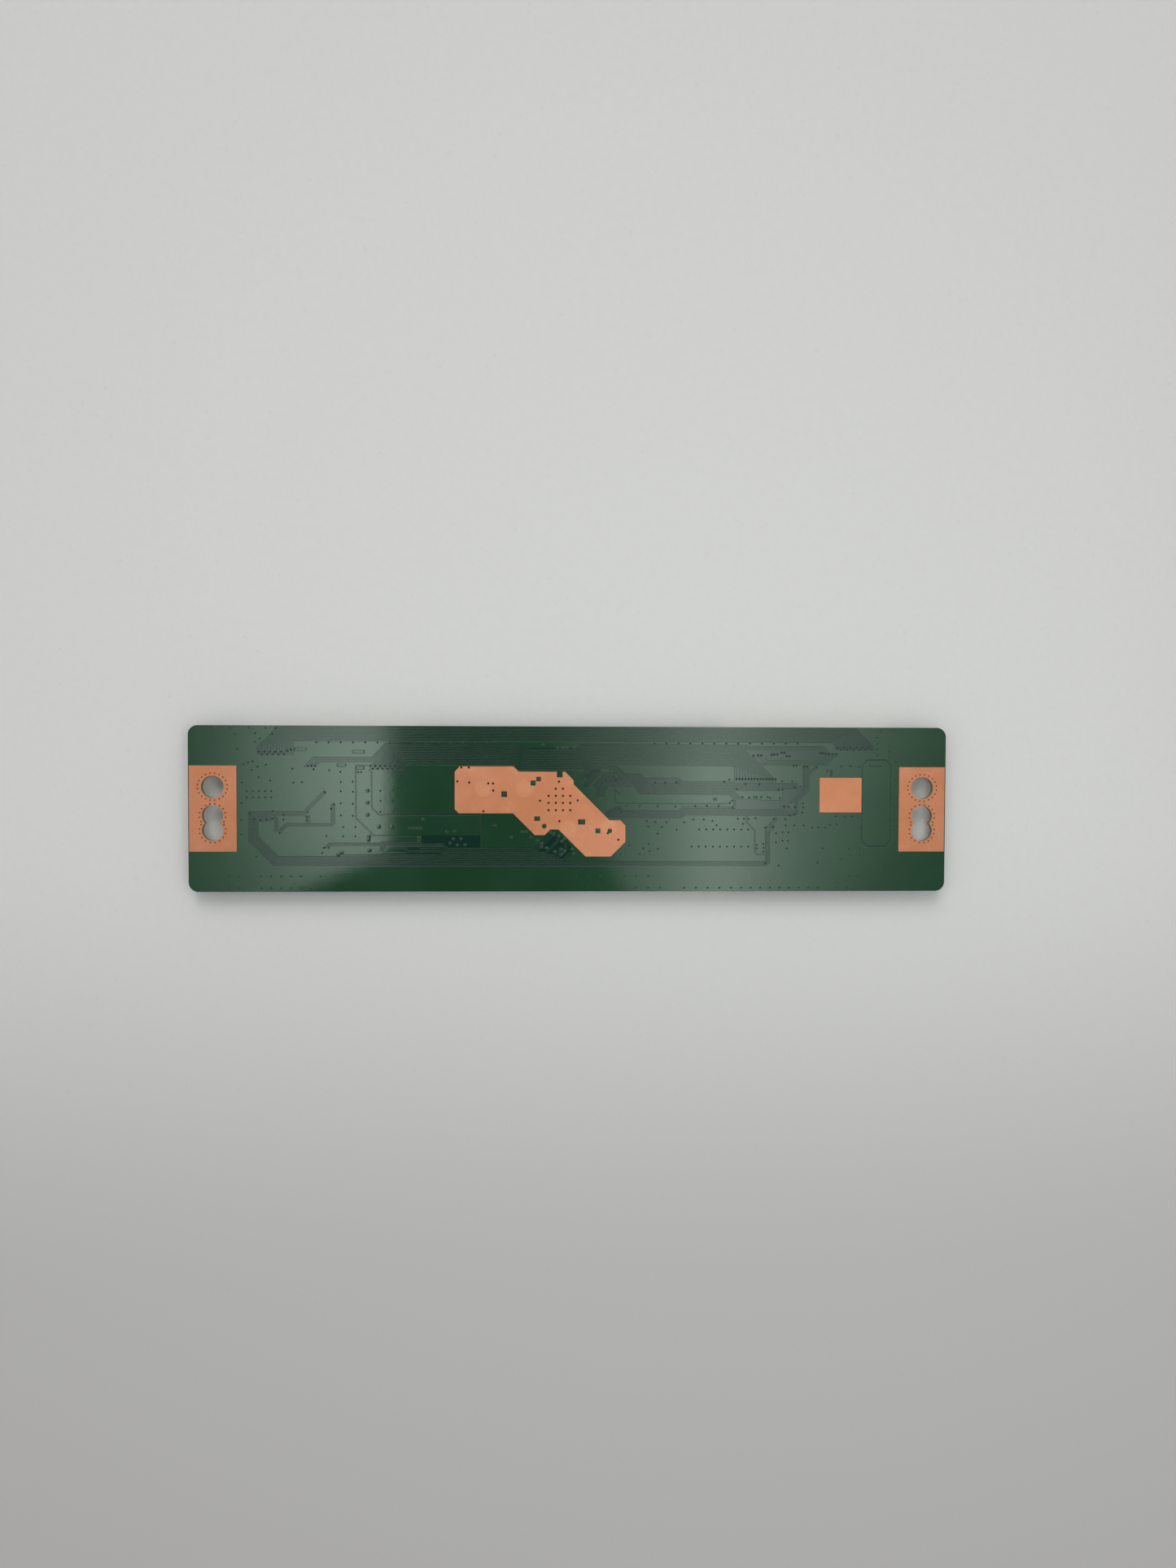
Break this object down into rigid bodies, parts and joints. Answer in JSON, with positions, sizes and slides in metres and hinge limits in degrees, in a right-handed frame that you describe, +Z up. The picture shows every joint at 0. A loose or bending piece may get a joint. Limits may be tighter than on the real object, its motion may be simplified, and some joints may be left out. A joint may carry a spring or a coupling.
{
  "type": "timing control board",
  "caption": "Long narrow green circuit board with bare copper lands, screw holes at both ends, fine track buses on the solder side and low cable sockets underneath.",
  "frame": {"origin": "middle of the board, on the surface that the sockets stand on", "axes": "+X along the board's length, +Y across it to the edge with the two output sockets, +Z up, out of the solder side"},
  "size_m": [0.16, 0.0348, 0.0041],
  "materials": {
    "laminate": "satin glass-epoxy edge",
    "green_coat": "gloss coat over copper",
    "coated_tracks": "gloss coat over copper",
    "bare_copper": "satin, slightly tarnished copper",
    "socket_plastic": "satin",
    "shell_steel": "satin tin plating",
    "tin": "satin tin plating",
    "chip_mould": "matt",
    "ferrite": "matt",
    "capacitor_ceramic": "satin",
    "resistor_film": "satin",
    "fuse_ceramic": "satin"
  },
  "bodies": {
    "root": {"back_coat": "green_coat", "controller_body": "chip_mould", "controller_heat_pad": "tin", "controller_leads": "tin", "diode_bodies": "chip_mould", "diode_terminals": "tin", "front_coat": "green_coat", "front_lands": "bare_copper", "fuse_body": "fuse_ceramic", "fuse_ends": "tin", "inductor_blocks": "ferrite", "inductor_terminals": "tin", "input_socket_contacts": "tin", "input_socket_housing": "socket_plastic", "input_socket_shell": "shell_steel", "laminate": "laminate", "large_capacitor_bodies": "capacitor_ceramic", "large_capacitor_ends": "tin", "left_land": "bare_copper", "left_socket_contacts": "tin", "left_socket_housing": "socket_plastic", "left_socket_tabs": "tin", "level_shifter_body": "chip_mould", "level_shifter_pads": "tin", "lower_tracks": "coated_tracks", "memory_body": "chip_mould", "memory_leads": "tin", "middle_land": "bare_copper", "middle_tracks": "coated_tracks", "power_chip_body": "chip_mould", "power_chip_pads": "tin", "power_tracks": "coated_tracks", "reference_buffer_body": "chip_mould", "reference_buffer_leads": "tin", "regulator_body": "chip_mould", "regulator_leads": "tin", "regulator_tab": "tin", "resistor_array_bodies": "resistor_film", "resistor_array_ends": "tin", "resistor_bodies": "resistor_film", "resistor_ends": "tin", "right_land": "bare_copper", "right_socket_contacts": "tin", "right_socket_housing": "socket_plastic", "right_socket_tabs": "tin", "right_tracks": "coated_tracks", "small_capacitor_bodies": "capacitor_ceramic", "small_capacitor_ends": "tin", "square_land": "bare_copper", "test_pads": "bare_copper", "transistor_bodies": "chip_mould", "transistor_leads": "tin", "upper_tracks": "coated_tracks"}
  },
  "joints": []
}
